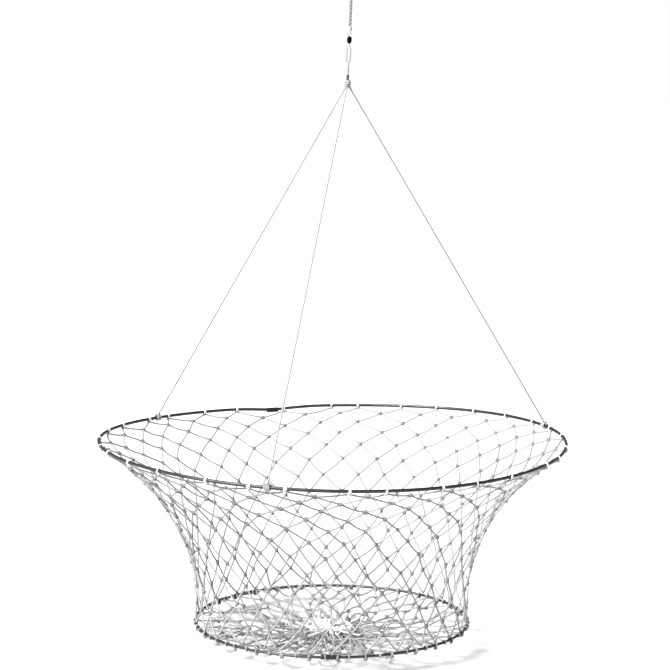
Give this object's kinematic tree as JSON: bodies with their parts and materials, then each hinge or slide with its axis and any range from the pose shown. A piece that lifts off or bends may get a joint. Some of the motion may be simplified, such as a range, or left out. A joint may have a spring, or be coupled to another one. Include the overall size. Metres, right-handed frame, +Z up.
{
  "type": "folding crab trap",
  "caption": "Two wire hoops joined by knotted netting, flared at the mouth and closed below, hung from a bridle, a swivel and a haul line; it folds flat.",
  "frame": {"origin": "inside top of the hand loop, where a hook or a hand bears; the whole trap hangs below it", "axes": "+Z up along the haul line, -Y towards the side the trap is seen from, +X to that side's right"},
  "size_m": [0.6169, 0.6172, 0.9206],
  "materials": {
    "hoop_wire": "dull grey drawn spring-steel wire, lightly oxidised",
    "hoop_sleeve": "crimped steel ferrule, dark and satin",
    "net_twine": "off-white twisted nylon twine",
    "bridle_cord": "pale braided nylon cord",
    "haul_cord": "grey laid line",
    "whipping_twine": "waxed pale whipping twine",
    "crimp_metal": "dark squeezed aluminium ferrule",
    "link_wire": "bright nickel-plated wire",
    "swivel_barrel": "black-nickel plated brass"
  },
  "bodies": {
    "haul": {"haul_line": "haul_cord", "hand_loop": "haul_cord", "hand_loop_knot": "haul_cord", "haul_whipping": "whipping_twine", "haul_end_loop": "haul_cord"},
    "swivel_head": {"swivel_upper_eye": "link_wire"},
    "barrel": {"swivel_barrel": "swivel_barrel"},
    "swivel_foot": {"swivel_lower_eye": "link_wire"},
    "bridle_head": {"connector_link": "link_wire", "bridle_loop": "bridle_cord", "bridle_crimp": "crimp_metal", "bridle_apex_knot": "bridle_cord", "bridle_leg_right": "bridle_cord", "bridle_leg_left": "bridle_cord", "bridle_leg_front": "bridle_cord"},
    "rim": {"upper_hoop": "hoop_wire", "upper_hoop_sleeve": "hoop_sleeve", "rim_lashing": "net_twine", "bridle_hitch_right": "bridle_cord", "bridle_hitch_left": "bridle_cord", "bridle_hitch_front": "bridle_cord", "side_netting": "net_twine"},
    "base": {"lower_hoop": "hoop_wire", "lower_hoop_sleeve": "hoop_sleeve", "base_lashing": "net_twine", "bottom_netting": "net_twine", "draw_cord": "net_twine", "gathered_netting": "net_twine"}
  },
  "joints": [
    {"name": "swivel_swing", "type": "hinge", "parent": "haul", "child": "swivel_head", "pos_m": [0, 0, -0.12325], "axis": [1, 0, 0], "range_deg": [-45, 45]},
    {"name": "barrel_spin", "type": "hinge", "parent": "swivel_head", "child": "barrel", "pos_m": [0, 0, -0.12545], "axis": [0, 0, 1], "continuous": true},
    {"name": "swivel_spin", "type": "hinge", "parent": "swivel_head", "child": "swivel_foot", "pos_m": [0, 0, -0.14235], "axis": [0, 0, 1], "continuous": true},
    {"name": "link_swing", "type": "hinge", "parent": "swivel_foot", "child": "bridle_head", "pos_m": [0, 0, -0.14235], "axis": [0, 1, 0], "range_deg": [-45, 45]},
    {"name": "bridle_slack", "type": "slide", "parent": "bridle_head", "child": "rim", "axis": [0, 0, 1], "range_m": [0, 0.42], "deforming": ["bridle_leg_right", "bridle_leg_left", "bridle_leg_front"]},
    {"name": "basket_fold", "type": "slide", "parent": "rim", "child": "base", "axis": [-0.0349, 0, 0.9994], "range_m": [0, 0.232], "deforming": ["side_netting"]}
  ]
}
